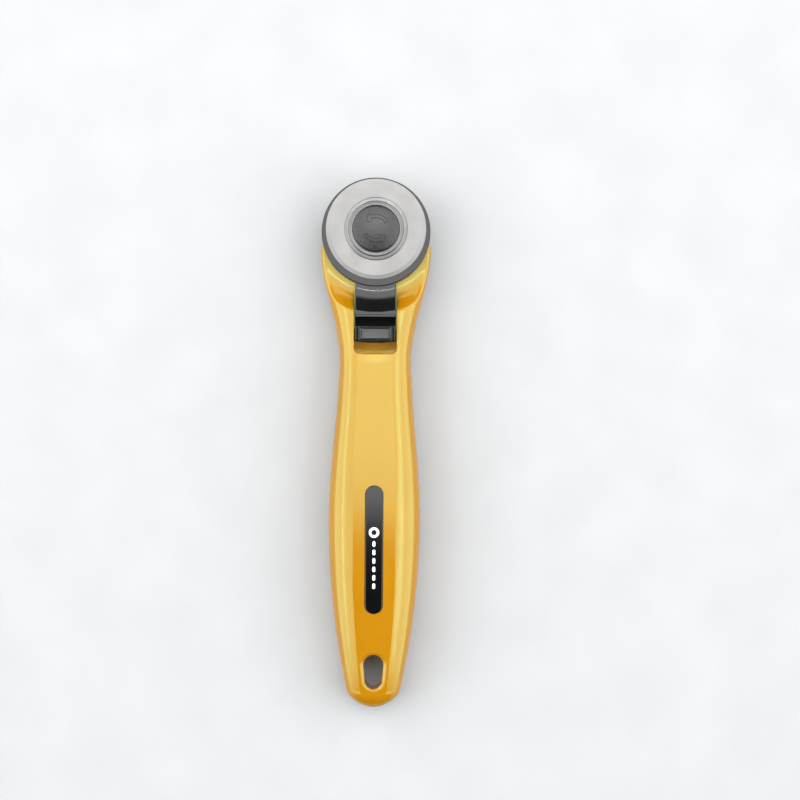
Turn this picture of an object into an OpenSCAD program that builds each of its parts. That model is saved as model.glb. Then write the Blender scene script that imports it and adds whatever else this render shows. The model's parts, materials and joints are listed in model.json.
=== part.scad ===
// Hand-held rotary cutter for fabric: a hollow two-part handle, a small round blade on a keyed
// bolt, a guard disc that a thumb slider draws back, and a screw-on knob behind the head.
// It lies on its back. +Z leaves the blade's face, +Y runs along the handle towards the blade.
// Outlines are worked out as distances back from the bolt's axis, towards the tail.

/* [Overall] */
// Distance from the bolt's axis to the end of the tail
tail_reach = 133.7; // [120:0.1:165]
// Radius of the round blade
blade_r = 14; // [13:0.1:16.8]
// Thickness of the blade
blade_t = 0.3; // [0.2:0.05:0.5]

/* [Handle outline] */
// Half the handle's width at the shoulders beside the blade
shoulder_half_w = 15.5; // [13.5:0.1:19]
// Half the handle's width at the narrow grip behind the slider
waist_half_w = 10.2; // [9.6:0.1:13]
// Half the handle's width at the belly
belly_half_w = 12.85; // [10.6:0.1:16]
// Half the handle's width at the corners of the tail
tail_half_w = 7.45; // [6.4:0.05:9.5]
// How far behind the bolt the shoulders begin
shoulder_s = 4.7; // [4:0.1:5.6]
// How far behind the bolt the narrowest grip lies
waist_s = 36.5; // [34:0.1:44]
// How far behind the bolt the belly is widest
belly_s = 81; // [67:0.5:97]
// Length of the rounded end beyond the tail's corners
tail_round = 4.3; // [3.4:0.1:6]
// Radius of the head's nose in front of the bolt
nose_r = 10.6; // [9:0.1:11.2]

/* [Handle depth] */
// Height of the split between the two shells above the back
split_h = 7; // [5.9:0.1:8.4]
// Height of the handle's front face at the rim of the bowl
crest_h = 15.4; // [14.7:0.1:18]
// Height of the handle's front face at the belly
belly_h = 17; // [15.4:0.1:20.4]
// Height of the handle's front face at the tail's corners
tail_h = 12.8; // [10.7:0.1:15]
// Half the width of the flat panel along the handle
panel_half_w = 5.8; // [4.9:0.1:6.9]
// How squarely the handle's edges are rounded
edge_power = 2.6; // [2:0.1:3.4]
// Thickness of the handle's walls
wall = 2; // [1.7:0.05:2.4]
// Height of the back shell's front edge above the back
back_step_h = 5; // [4.2:0.1:5.4]
// How far behind the bolt the back shell begins
back_start_s = 17; // [16:0.1:17.5]
// How far the back rises at the tail's corners
back_tail_rise = 1.2; // [0.9:0.1:3.6]

/* [Head] */
// Thickness of the head plate that the bolt passes through
plate_t = 3.7; // [3.4:0.05:4.4]
// Radius of the bowl's flat floor around the bolt
bowl_floor_r = 16.9; // [16.6:0.05:17.4]
// Radius of the curve from the bowl's floor to its rim
bowl_curve_r = 6.6; // [6:0.1:7.9]
// Outer radius of the metal bush that carries the blade
bush_r = 3.6; // [3.4:0.05:4.3]
// Radius of the blade's seat on the bush
pilot_r = 3.2; // [3:0.05:3.3]

/* [Guard] */
// How far the guard's edge reaches past the blade, in front
guard_lead = 0.3; // [0.25:0.05:0.6]
// Radius of the guard disc beyond the blade's radius
guard_margin = 1.2; // [1:0.05:1.45]
// Thickness of the guard disc's rim
guard_rim_t = 1.35; // [1.1:0.05:1.5]
// Thickness of the guard disc's middle
guard_hub_t = 2.2; // [2.1:0.05:2.3]
// Radius of the guard disc's thick middle
guard_hub_r = 11.5; // [10.5:0.1:12.2]
// How far the guard slides back to bare the blade
guard_travel = 2.7; // [2.2:0.1:3.7]
// Width of the stem that joins the guard to its slider
stem_w = 11.4; // [10.6:0.1:11.9]
// How far behind the bolt the stem ends
stem_end_s = 31.8; // [31.5:0.1:33]
// How far the thumb button goes down
button_travel = 0.8; // [0.65:0.05:0.95]
// Length of the thumb button along the stem
button_l = 3.6; // [3.2:0.1:3.7]
// Width of the thumb button
button_w = 9.1; // [8.4:0.1:9.6]

/* [Bolt and knob] */
// Radius of the bolt's threaded shank
bolt_r = 2; // [1.8:0.05:2.3]
// Lead of the bolt's thread
thread_lead = 0.7; // [0.5:0.1:0.8]
// Radius of the stepped flange on the bolt
flange_r = 8.8; // [8:0.1:10]
// Radius of the plastic cap on the bolt
cap_r = 6.65; // [5.6:0.05:7.4]
// Height of the cap's dome above the flange
cap_h = 1.9; // [1.7:0.1:2.4]
// Radius of the knob behind the head
knob_r = 9.6; // [8.6:0.1:11.5]
// Height of the bent spring washer when the knob is tight
spring_washer_h = 1.1; // [0.9:0.05:1.4]
// Number of grip flutes around the knob
knob_flutes = 18; // [12:1:22]
// Radius of the brass insert in the knob
insert_r = 3.6; // [3:0.1:4.3]
// Radius of the two washers under the head
washer_r = 7; // [6:0.1:8]

/* [Details] */
// Length of the inlaid badge
badge_l = 35.7; // [30:0.1:41]
// Width of the inlaid badge
badge_w = 5; // [4:0.1:5.8]
// How far behind the bolt the badge begins
badge_s = 71.6; // [66:0.1:74]
// Depth of the badge's recess
badge_t = 0.6; // [0.5:0.05:0.9]
// Radius of the hanging hole's wide end
hang_wide_r = 2.8; // [2.6:0.05:3.4]
// Radius of the hanging hole's narrow end
hang_narrow_r = 2.35; // [2.25:0.05:2.6]
// Distance from the hanging hole's narrow end centre to the end of the tail
hang_inset = 7.6; // [6.6:0.1:8.6]
// Distance between the centres of the hanging hole's ends
hang_run = 4.4; // [3.6:0.1:5.2]
// Radius of the case screws' shanks
screw_r = 1.2; // [1:0.05:1.35]
// Radius of the case screws' heads
screw_head_r = 2.2; // [1.9:0.05:2.6]

/* [Fits] */
// Gap between a turning part and what it turns on
run_gap = 0.05; // [0.02:0.01:0.1]
// Gap beside and below a sliding part
slide_gap = 0.1; // [0.08:0.01:0.15]
// Gap beside the guard's stem in its channel
channel_gap = 0.3; // [0.2:0.01:0.35]
// Gap that keeps a moving part off its neighbours
free_gap = 0.3; // [0.25:0.01:0.35]

/* [Hidden] */
$fn = 96;
eps = 0.01;
far = 60;

// Row frame: the whole length is centred on Y, so the bolt stands this far from the middle.
front_reach = blade_r + guard_lead;
bolt_y = (tail_reach - front_reach) / 2;

// Heights, from the knob's face up to the bolt's cap.
spring_washer_t = 0.4;
flat_washer_t = 0.7;
knob_h = split_h - spring_washer_h - flat_washer_t;
floor_z = split_h + plate_t;
guard_bottom_z = floor_z + slide_gap;
guard_top_z = guard_bottom_z + guard_hub_t;
seat_z = guard_top_z + free_gap;
blade_play = 0.03;
blade_z = seat_z + blade_play;
flange_z = blade_z + blade_t + blade_play;
flange_rim_t = 0.5;
flange_t = 0.95;
cap_z = flange_z + flange_t;

// The bolt's key, head and end.
key_r = bolt_r + 0.6;
key_flats = 2 * bolt_r;
bolt_end_z = 0.5;
bolt_head_r = 4.2;
bolt_head_t = 0.8;

// Bowl and channel.
channel_half_w = stem_w / 2 + channel_gap;
channel_end_s = stem_end_s + guard_travel + free_gap;
floor_t = 1.5;
floor_under_z = floor_z - floor_t;

// Guard.
guard_r = blade_r + guard_margin;
guard_back = guard_r - front_reach;
stem_top_z = guard_top_z - 0.2;
stem_curve_s = 16.5;
crest_run = sqrt(pow(bowl_curve_r, 2) - pow(bowl_curve_r - (crest_h - floor_z), 2));
crest_s = bowl_floor_r + crest_run;
stem_rise = crest_h - stem_top_z;
stem_run = crest_s - stem_curve_s;
stem_curve_r = (pow(stem_run, 2) + pow(stem_rise, 2)) / (2 * stem_rise);
stem_crest_end_s = crest_s + 1.3;
pad_s = stem_end_s - 4.4;
scoop_z = guard_top_z;
pad_z = crest_h - 0.5;

// Thumb button and its pocket in the stem.
button_back_s = stem_end_s - 0.7;
button_front_s = button_back_s - button_l;
pocket_floor_z = guard_bottom_z + 0.6;
button_z = pocket_floor_z + button_travel + 0.4;
button_top_z = crest_h + 0.1;
ear_w = 0.35;
ear_t = 0.6;
pocket_gap = 0.15;
grip_w = button_w - 1.6;
grip_l = button_l - 1;
grip_t = 0.6;
grip_sink = 0.15;
leaf_t = 0.25;

// Carriage under the channel's floor.
carriage_start_s = back_start_s + 1.6;
carriage_l = 13.8;
carriage_end_s = carriage_start_s + carriage_l;
carriage_half_w = 5.6;
carriage_z = split_h + 0.3;
carriage_top_z = floor_under_z - slide_gap;
neck_start_s = carriage_start_s + 0.8;
neck_l = 6.6;
neck_end_s = neck_start_s + neck_l;
neck_half_w = 2.8;
carriage_screw_s = [neck_start_s + 1.5, neck_end_s - 1.5];
carriage_screw_r = 0.9;
carriage_head_r = 1.6;
carriage_head_t = 0.8;
tongue_half_w = 1.6;
tongue_end_s = carriage_end_s + 7.2;
notch_r = 0.7;
leg_gap = 0.12;
leg_t = 0.4;
leg_x = tongue_half_w + leg_gap;
tunnel_half_w = leg_x + leg_t + 2 * slide_gap;

// Cavities and bosses in the shells.
carriage_room_s = carriage_start_s - 0.6;
cavity_start_s = channel_end_s + 2.4;
hang_s = tail_reach - hang_inset;
cavity_end_s = hang_s - hang_run - hang_wide_r - 3;
front_room_z = min(crest_h, tail_h) - wall;
back_room_z = wall;
boss_r = screw_head_r + 0.9;
spring_post_s = cavity_start_s + 11;
spring_post_r = 1.5;
screw_spots = [spring_post_s + 6, (spring_post_s + 6 + cavity_end_s) / 2, cavity_end_s - boss_r - 0.4];
screw_head_t = 1.4;
screw_reach = 4.2;

// Eased step from 0 to 1.
function ease(t) = (1 - cos(180 * min(1, max(0, t)))) / 2;

// Half-width of the handle at a distance behind the bolt.
tail_corner_s = tail_reach - tail_round;
tail_arc_r = (pow(tail_half_w, 2) + pow(tail_round, 2)) / (2 * tail_round);
function tail_arc_w(s) = sqrt(max(1, pow(tail_arc_r, 2) - pow(s - tail_reach + tail_arc_r, 2)));
function half_w(s) =
    s < waist_s ? shoulder_half_w - (shoulder_half_w - waist_half_w)
        * ease((s - shoulder_s) / (waist_s - shoulder_s)) :
    s < belly_s ? waist_half_w + (belly_half_w - waist_half_w) * ease((s - waist_s) / (belly_s - waist_s)) :
    s < tail_corner_s ? belly_half_w - (belly_half_w - tail_half_w)
        * pow((s - belly_s) / (tail_corner_s - belly_s), 2) :
    min(tail_half_w, tail_arc_w(s));

// The end of the tail rounds over in depth as well as in width.
function tail_fade(s) = s < tail_corner_s ? 1 : sqrt(1 - 0.7 * pow((s - tail_corner_s) / tail_round, 2));

// Heights of the front and back faces along the middle of the handle.
back_flat_s = 52;
back_rise_s = tail_corner_s - 21;
function front_z(s) = split_h + tail_fade(s) * (-split_h + (s < belly_s
    ? crest_h + (belly_h - crest_h) * ease((s - crest_s) / (belly_s - crest_s))
    : belly_h - (belly_h - tail_h) * pow((min(s, tail_corner_s) - belly_s) / (tail_corner_s - belly_s), 2)));
function back_z(s) = split_h - tail_fade(s) * (split_h - (s < back_flat_s
    ? back_step_h * (1 - ease((s - back_start_s) / (back_flat_s - back_start_s)))
    : back_tail_rise * pow(max(0, (min(s, tail_corner_s) - back_rise_s) / (tail_corner_s - back_rise_s)), 2)));

// One cross-section's outline, from edge to edge over the face: a flat panel between two
// rounded shoulders. up is 1 for the front face and -1 for the back.
arc_steps = 6;
function section(s, up) = let (w = half_w(s),
    flat = min(panel_half_w, 0.48 * w),
    h = up > 0 ? front_z(s) - split_h : split_h - back_z(s))
    [for (side = [1, -1], i = [0 : arc_steps])
        let (a = 90 * (side > 0 ? i : arc_steps - i) / arc_steps)
        [side * (flat + (w - flat) * pow(cos(a), 2 / edge_power)),
            bolt_y - s,
            split_h + up * h * pow(sin(a), 2 / edge_power)]];

// A solid through a row of such sections, closed by a flat cap at each end.
tail_steps = 5;
body_steps = 34;
function stations(start_s) = concat(
    [for (i = [0 : body_steps]) start_s + (tail_corner_s - start_s) * i / body_steps],
    [for (i = [1 : tail_steps]) tail_corner_s + tail_round * sin(90 * i / tail_steps)]);
module loft(start_s, up) {
    rows = [for (s = stations(start_s)) section(s, up)];
    n = len(rows[0]);
    last = len(rows) - 1;
    sides = [for (r = [0 : last - 1], i = [0 : n - 1])
        let (a = r * n + i, b = r * n + (i + 1) % n)
        each [[a, b, a + n], [b, b + n, a + n]]];
    start_cap = [[for (i = [n - 1 : -1 : 0]) i]];
    end_cap = [[for (i = [0 : n - 1]) last * n + i]];
    faces = concat(sides, start_cap, end_cap);
    polyhedron([for (row = rows) each row],
        up < 0 ? faces : [for (f = faces) [for (i = [len(f) - 1 : -1 : 0]) f[i]]]);
}

// A bar across the handle between two distances behind the bolt.
module block(half_width, s0, s1, z0, z1) {
    translate([-half_width, bolt_y - s1, z0])
        cube([2 * half_width, s1 - s0, z1 - z0]);
}

module rod(r, z0, z1, s = 0, x = 0) {
    translate([x, bolt_y - s, z0])
        cylinder(r = r, h = z1 - z0);
}

// Points along an arc, from one angle to another.
function arc(centre, r, a0, a1, steps = 12) =
    [for (i = [0 : steps]) let (a = a0 + (a1 - a0) * i / steps) centre + r * [cos(a), sin(a)]];

// Outline of a round front end joined by its tangents to two small corners that lie run behind
// it and half_gap to each side. With no half_gap it is a tapered slot.
module tangent_pill(r0, r1, run, half_gap = 0) {
    lean = atan2(half_gap, run) + asin((r1 - r0) / sqrt(run * run + half_gap * half_gap));
    polygon(concat(arc([0, 0], r0, lean, 180 - lean, 24),
        arc([-half_gap, -run], r1, 180 - lean, 270),
        arc([half_gap, -run], r1, half_gap > 0 ? 270 : 270 + 90 / 12, 360 + lean)));
}

// Space above a curved bowl: flat out to start_r, then a hollow curve up to the rim.
module bowl_space(z, start_r, curve_r, rise) {
    end_a = acos((curve_r - rise) / curve_r);
    translate([0, bolt_y, z])
        rotate_extrude()
            polygon(concat([[0, 0]],
                [for (i = [0 : 8]) let (a = end_a * i / 8)
                    [start_r + curve_r * sin(a), curve_r * (1 - cos(a))]],
                [[start_r + curve_r * sin(end_a), far], [0, far]]));
}

// Round bar with two flats, which stops the bolt turning in the bush.
module keyed_bar(r, flats, z0, z1) {
    intersection() {
        rod(r, z0, z1);
        translate([-flats / 2, bolt_y - r - 1, z0 - 1])
            cube([flats, 2 * r + 2, z1 - z0 + 2]);
    }
}

// The handle's hollow: the outline drawn in by the wall, straight up and down.
module hollow(z0, z1, inset) {
    steps = 16;
    spots = [for (i = [0 : steps]) cavity_start_s + (cavity_end_s - cavity_start_s) * i / steps];
    translate([0, bolt_y, z0])
        linear_extrude(z1 - z0)
            polygon(concat([for (s = spots) [half_w(s) - inset, -s]],
                [for (i = [steps : -1 : 0]) [inset - half_w(spots[i]), -spots[i]]]));
}

// The front face's line between two heights below it, as a bar across the handle.
module face_bar(half_width, s0, s1, low, high) {
    steps = 14;
    spots = [for (i = [0 : steps]) s0 + (s1 - s0) * i / steps];
    translate([-half_width, bolt_y, 0])
        rotate([90, 0, 90])
            linear_extrude(2 * half_width)
                polygon(concat([for (s = spots) [-s, front_z(s) + low]],
                    [for (i = [steps : -1 : 0]) [-spots[i], front_z(spots[i]) + high]]));
}

// Tall bar with rounded ends, as long and wide as the badge.
module badge_prism(grow) {
    r = badge_w / 2 + grow;
    translate([0, bolt_y - badge_s - badge_w / 2, 0]) {
        translate([0, 0, split_h])
            cylinder(r = r, h = far);
        translate([0, badge_w - badge_l, split_h])
            cylinder(r = r, h = far);
        translate([-r, badge_w - badge_l, split_h])
            cube([2 * r, badge_l - badge_w, far]);
    }
}

module hang_space() {
    translate([0, bolt_y - hang_s + hang_run, -1])
        linear_extrude(far)
            tangent_pill(hang_wide_r, hang_narrow_r, hang_run);
}

module handle_front_shell() {
    color("#e6a019") {
        difference() {
            union() {
                loft(shoulder_s, 1);
                translate([0, bolt_y, split_h])
                    linear_extrude(plate_t)
                        tangent_pill(nose_r, 1, shoulder_s + 1.4, shoulder_half_w - 1.3);
            }
            bowl_space(floor_z, bowl_floor_r, bowl_curve_r, crest_h - floor_z);
            block(channel_half_w, bowl_floor_r, channel_end_s, floor_z, far);
            block(neck_half_w + slide_gap, neck_start_s - free_gap, neck_end_s + guard_travel + free_gap,
                split_h, floor_z + 1);
            block(carriage_half_w + free_gap, carriage_room_s, channel_end_s + 1, split_h - 1, floor_under_z);
            block(tunnel_half_w, channel_end_s, cavity_start_s + 1, split_h - 1, floor_under_z);
            difference() {
                hollow(split_h - 1, front_room_z, wall + 0.6);
                for (s = screw_spots)
                    rod(boss_r, split_h - 2, far, s);
                rod(spring_post_r, split_h + 0.2, far, spring_post_s);
            }
            for (s = screw_spots)
                rod(screw_r, split_h - 2, split_h + screw_reach + 0.5, s);
            rod(bush_r, split_h - 1, far);
            intersection() {
                badge_prism(slide_gap);
                face_bar(badge_w, badge_s - 1, badge_s + badge_l + 1, -badge_t, 5);
            }
            hang_space();
        }
    }
}

module handle_back_shell() {
    color("#dd9a16") {
        difference() {
            loft(back_start_s, -1);
            difference() {
                hollow(back_room_z, split_h + 1, wall + 0.6);
                for (s = screw_spots)
                    rod(boss_r, -1, split_h, s);
                block(far, cavity_start_s - 1, back_flat_s - 4, -1, split_h - 1.2);
            }
            for (s = screw_spots) {
                rod(screw_r + slide_gap, -1, split_h + 1, s);
                rod(screw_head_r + slide_gap, -1, screw_head_t + 0.4, s);
            }
            hang_space();
        }
    }
}

module shell_screws() {
    color("#8f9398")
        for (s = screw_spots)
            difference() {
                union() {
                    rod(screw_head_r, 0.4, screw_head_t + 0.4, s);
                    rod(screw_r - eps, screw_head_t + 0.3, split_h + screw_reach, s);
                }
                for (turn = [0, 90])
                    translate([0, bolt_y - s, 0.4])
                        rotate([0, 0, turn])
                            cube([0.7, 2.6, 1.2], center = true);
            }
}

module handle_badge() {
    color("#151515")
        intersection() {
            badge_prism(0);
            face_bar(badge_w, badge_s - 1, badge_s + badge_l + 1, -badge_t + 0.02, -0.05);
        }
}

module pivot_bush() {
    color("#b9bcc0")
        difference() {
            union() {
                rod(bush_r, split_h, seat_z);
                rod(pilot_r, seat_z - 1, flange_z);
            }
            keyed_bar(key_r + run_gap, key_flats + 2 * run_gap, split_h - 1, flange_z + 1);
        }
}

// A ring bent about a cross-wise axis, so that it acts as a spring under the head.
module wave_washer() {
    rise = spring_washer_h - spring_washer_t;
    bend_r = (pow(washer_r, 2) + pow(rise, 2)) / (2 * rise);
    color("#c4c6c8")
        intersection() {
            difference() {
                rod(washer_r, 0, split_h);
                rod(bolt_r + 0.4, -1, split_h + 1);
            }
            translate([-washer_r - 1, bolt_y, split_h - bend_r])
                rotate([0, 90, 0])
                    difference() {
                        cylinder(r = bend_r, h = 2 * washer_r + 2);
                        translate([0, 0, -1])
                            cylinder(r = bend_r - spring_washer_t, h = 2 * washer_r + 4);
                    }
        }
}

module nut_washer() {
    color("#d0d2d4")
        difference() {
            rod(washer_r, knob_h, knob_h + flat_washer_t);
            rod(bolt_r + 0.15, knob_h - 1, split_h);
        }
}

module nut_knob() {
    flute_r = 1.1;
    color("#2a2a2b")
        difference() {
            rod(knob_r, 0, knob_h);
            rod(insert_r, -1, knob_h + 1);
            for (i = [0 : knob_flutes - 1])
                translate([0, bolt_y, -1])
                    rotate([0, 0, 360 * i / knob_flutes])
                        translate([knob_r + 0.5 * flute_r, 0, 0])
                            cylinder(r = flute_r, h = knob_h + 2, $fn = 24);
        }
}

module nut_insert() {
    color("#c9a24a")
        difference() {
            rod(insert_r, 0.3, knob_h);
            rod(bolt_r + run_gap, -1, knob_h + 1);
        }
}

module bolt_shaft() {
    color("#aeb1b4") {
        rod(bolt_r, bolt_end_z, cap_z);
        keyed_bar(key_r, key_flats, split_h, cap_z);
        rod(bolt_head_r, cap_z, cap_z + bolt_head_t);
    }
}

module bolt_flange() {
    color("#d7d8d9")
        difference() {
            union() {
                rod(flange_r, flange_z, flange_z + flange_rim_t);
                rod(flange_r - 0.9, flange_z, cap_z);
            }
            keyed_bar(key_r, key_flats, flange_z - 1, cap_z + 1);
        }
}

// The cap is a shallow dome over the bolt's head.
module bolt_cap() {
    edge_h = 1.2;
    dome_h = cap_h - edge_h;
    dome_r = (pow(cap_r, 2) + pow(dome_h, 2)) / (2 * dome_h);
    color("#555557")
        difference() {
            intersection() {
                rod(cap_r, cap_z, cap_z + cap_h);
                translate([0, bolt_y, cap_z + cap_h - dome_r])
                    sphere(r = dome_r, $fn = 128);
            }
            rod(bolt_head_r, cap_z - 1, cap_z + bolt_head_t);
        }
}

// The blade has a ground bevel on both faces and three small lobes around its bore.
module blade() {
    bevel = 1.1;
    edge_t = 0.06;
    lobe_r = 0.9;
    bore_r = pilot_r + run_gap;
    color("#dedbd6")
        difference() {
            translate([0, bolt_y, blade_z])
                rotate_extrude()
                    polygon([[0, 0], [blade_r - bevel, 0], [blade_r, (blade_t - edge_t) / 2],
                        [blade_r, (blade_t + edge_t) / 2], [blade_r - bevel, blade_t], [0, blade_t]]);
            rod(bore_r, blade_z - 1, blade_z + 1);
            for (a = [90, 210, 330])
                translate([0, bolt_y, blade_z - 1])
                    rotate([0, 0, a])
                        translate([bore_r, 0, 0])
                            cylinder(r = lobe_r, h = 2, $fn = 32);
        }
}

module guard() {
    color("#2c2c2e")
        difference() {
            union() {
                rod(guard_r, guard_top_z - guard_rim_t, guard_top_z, guard_back);
                rod(guard_hub_r, guard_bottom_z, guard_top_z, guard_back);
                difference() {
                    block(stem_w / 2, guard_hub_r - 1, stem_crest_end_s, guard_bottom_z, crest_h);
                    bowl_space(stem_top_z, stem_curve_s, stem_curve_r, stem_rise);
                }
                block(stem_w / 2, stem_crest_end_s - 1, pad_s, guard_bottom_z, scoop_z);
                block(stem_w / 2, pad_s, stem_end_s, guard_bottom_z, pad_z);
            }
            for (s = [0, -guard_travel])
                rod(bush_r + free_gap, guard_bottom_z - 1, guard_top_z + 1, s);
            block(bush_r + free_gap, -guard_travel, 0, guard_bottom_z - 1, guard_top_z + 1);
            for (s = carriage_screw_s)
                rod(carriage_screw_r, guard_bottom_z - 1, guard_bottom_z + 1.8, s);
            block(button_w / 2 + pocket_gap, button_front_s - pocket_gap, button_back_s + pocket_gap,
                pocket_floor_z, far);
            block(button_w / 2 + ear_w + pocket_gap, button_front_s - pocket_gap,
                button_back_s + pocket_gap, pocket_floor_z, button_z + ear_t + slide_gap);
        }
}

module guard_carriage() {
    color("#3a3a3c")
        difference() {
            union() {
                block(carriage_half_w, carriage_start_s, carriage_end_s, carriage_z, carriage_top_z);
                block(neck_half_w, neck_start_s, neck_end_s, carriage_z, guard_bottom_z);
                block(tongue_half_w, carriage_end_s - 1, tongue_end_s, carriage_z, carriage_top_z);
            }
            for (s = carriage_screw_s) {
                rod(carriage_screw_r, carriage_z - 1, guard_bottom_z + 1, s);
                rod(carriage_head_r, carriage_z - 1, carriage_z + carriage_head_t, s);
            }
            for (x = [-tongue_half_w, tongue_half_w], back = [0, guard_travel])
                rod(notch_r, carriage_z - 1, carriage_top_z + 1, tongue_end_s - 1.2 - back, x);
        }
}

module carriage_screws() {
    color("#8f9398")
        for (s = carriage_screw_s) {
            rod(carriage_head_r - eps, carriage_z, carriage_z + carriage_head_t, s);
            rod(carriage_screw_r - eps, carriage_z, guard_bottom_z + 1.6, s);
        }
}

module thumb_button() {
    color("#1d1d1f")
        difference() {
            union() {
                block(button_w / 2, button_front_s, button_back_s, button_z, button_top_z);
                block(button_w / 2 + ear_w, button_front_s, button_back_s, button_z, button_z + ear_t);
            }
            translate([-grip_w / 2, bolt_y - button_back_s + (button_l - grip_l) / 2, button_top_z - grip_t])
                cube([grip_w, grip_l, far]);
        }
}

module button_grip() {
    color("#4a4a4b")
        translate([-grip_w / 2, bolt_y - button_back_s + (button_l - grip_l) / 2, button_top_z - grip_t])
            cube([grip_w, grip_l, grip_t - grip_sink]);
}

// A leaf bent into a low arch, which lifts the button.
module button_spring() {
    arch_h = button_z - pocket_floor_z;
    half_l = button_w / 2 - 0.6;
    bend_r = (pow(half_l, 2) + pow(arch_h, 2)) / (2 * arch_h);
    mid_s = (button_front_s + button_back_s) / 2;
    color("#c9cbcd")
        translate([0, bolt_y - mid_s, button_z - bend_r])
            rotate([90, 0, 0])
                intersection() {
                    difference() {
                        cylinder(r = bend_r, h = 2, center = true);
                        cylinder(r = bend_r - leaf_t, h = 3, center = true);
                    }
                    translate([-half_l, bend_r - arch_h, -2])
                        cube([2 * half_l, arch_h + 1, 4]);
                }
}

// A hairpin of spring strip around the post. Its two legs lie beside the carriage's tongue.
module detent_spring() {
    loop_r = spring_post_r + run_gap + leg_t;
    leg_front_s = tongue_end_s - 2.4;
    color("#c9cbcd") {
        difference() {
            rod(loop_r, carriage_z, carriage_top_z, spring_post_s);
            rod(loop_r - leg_t, carriage_z - 1, carriage_top_z + 1, spring_post_s);
            block(loop_r + 1, spring_post_s - loop_r - 1, spring_post_s, carriage_z - 1, carriage_top_z + 1);
        }
        for (x = [-leg_x - leg_t, leg_x])
            translate([x, bolt_y - spring_post_s, carriage_z])
                cube([leg_t, spring_post_s - leg_front_s, carriage_top_z - carriage_z]);
    }
}

handle_front_shell();
handle_back_shell();
shell_screws();
handle_badge();
pivot_bush();
wave_washer();
nut_washer();
nut_knob();
nut_insert();
bolt_shaft();
bolt_flange();
bolt_cap();
blade();
guard();
guard_carriage();
carriage_screws();
thumb_button();
button_grip();
button_spring();
detent_spring();
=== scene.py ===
import json
import math

import bmesh
import bpy
import numpy as np
from mathutils import Matrix, Vector


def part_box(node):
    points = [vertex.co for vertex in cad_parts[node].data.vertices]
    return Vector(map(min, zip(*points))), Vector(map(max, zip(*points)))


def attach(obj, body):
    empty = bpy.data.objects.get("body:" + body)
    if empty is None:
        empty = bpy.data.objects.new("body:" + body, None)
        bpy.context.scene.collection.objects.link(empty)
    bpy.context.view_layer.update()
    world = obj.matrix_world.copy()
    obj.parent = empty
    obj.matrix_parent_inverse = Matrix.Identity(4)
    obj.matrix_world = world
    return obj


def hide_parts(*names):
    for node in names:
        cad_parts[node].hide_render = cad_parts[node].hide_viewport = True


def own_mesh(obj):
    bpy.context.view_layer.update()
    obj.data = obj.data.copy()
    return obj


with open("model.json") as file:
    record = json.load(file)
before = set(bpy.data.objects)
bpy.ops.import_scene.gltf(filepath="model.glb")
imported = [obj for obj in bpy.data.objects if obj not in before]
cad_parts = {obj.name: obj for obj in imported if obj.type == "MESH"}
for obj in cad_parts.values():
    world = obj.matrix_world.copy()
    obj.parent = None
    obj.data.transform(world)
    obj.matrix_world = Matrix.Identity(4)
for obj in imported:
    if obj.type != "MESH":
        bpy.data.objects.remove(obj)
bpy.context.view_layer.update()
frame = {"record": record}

# Front half of the handle: one glossy yellow moulding with the head plate, a bowl around the
# blade, the slider's channel, a recess for the badge and half of the hanging slot. It lies on
# its back. Sizes are in millimetres: s back from the bolt towards the tail, x across, z up.
MM = 0.001


def cad_box(node):
    """Lowest and highest corner of a design part, in millimetres."""
    low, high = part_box(node)
    return np.array(low) / MM, np.array(high) / MM


def placed(name, data):
    """A new object in the scene that carries some data."""
    thing = bpy.data.objects.new(name, data)
    bpy.context.scene.collection.objects.link(thing)
    return thing


def piece_from(name, points, faces):
    """A mesh object from points in millimetres, with its doubles merged and its faces outward."""
    mesh = bpy.data.meshes.new(name)
    mesh.from_pydata([tuple(p) for p in np.asarray(points, float) * MM], [], faces)
    shape = bmesh.new()
    shape.from_mesh(mesh)
    bmesh.ops.remove_doubles(shape, verts=shape.verts, dist=0.002 * MM)
    bmesh.ops.recalc_face_normals(shape, faces=shape.faces)
    shape.to_mesh(mesh)
    shape.free()
    return placed(name, mesh)


def fitted(piece, material, body, slot, *nodes, sharp=35):
    """Finishes a piece: its material, smooth faces, what it rides on and what it stands for."""
    piece.data.materials.clear()
    piece.data.materials.append(material)
    for face in piece.data.polygons:
        face.use_smooth = True
        face.material_index = 0
    piece.data.set_sharp_from_angle(angle=math.radians(sharp))
    even = piece.modifiers.new("even", "WEIGHTED_NORMAL")
    even.keep_sharp = True
    mesh = bpy.data.meshes.new_from_object(piece.evaluated_get(bpy.context.evaluated_depsgraph_get()))
    piece.modifiers.remove(even)
    piece.data = mesh
    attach(piece, body)
    if nodes:
        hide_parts(*nodes)
    return piece


def cut(piece, tool, operation="DIFFERENCE"):
    """Cuts the tool out of the piece, or joins the two, and throws the tool away."""
    change = piece.modifiers.new("cut", "BOOLEAN")
    change.operation = operation
    change.solver = "MANIFOLD"
    change.object = tool
    depsgraph = bpy.context.evaluated_depsgraph_get()
    mesh = bpy.data.meshes.new_from_object(piece.evaluated_get(depsgraph))
    piece.modifiers.remove(change)
    piece.data = mesh
    bpy.data.objects.remove(tool)
    return piece


def ring_faces(rows, columns, closed):
    """Quads between neighbouring rows of points. closed also joins each row's end to its start."""
    last = columns if closed else columns - 1
    return [(r * columns + c, r * columns + (c + 1) % columns,
             (r + 1) * columns + (c + 1) % columns, (r + 1) * columns + c)
            for r in range(rows - 1) for c in range(last)]


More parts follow.
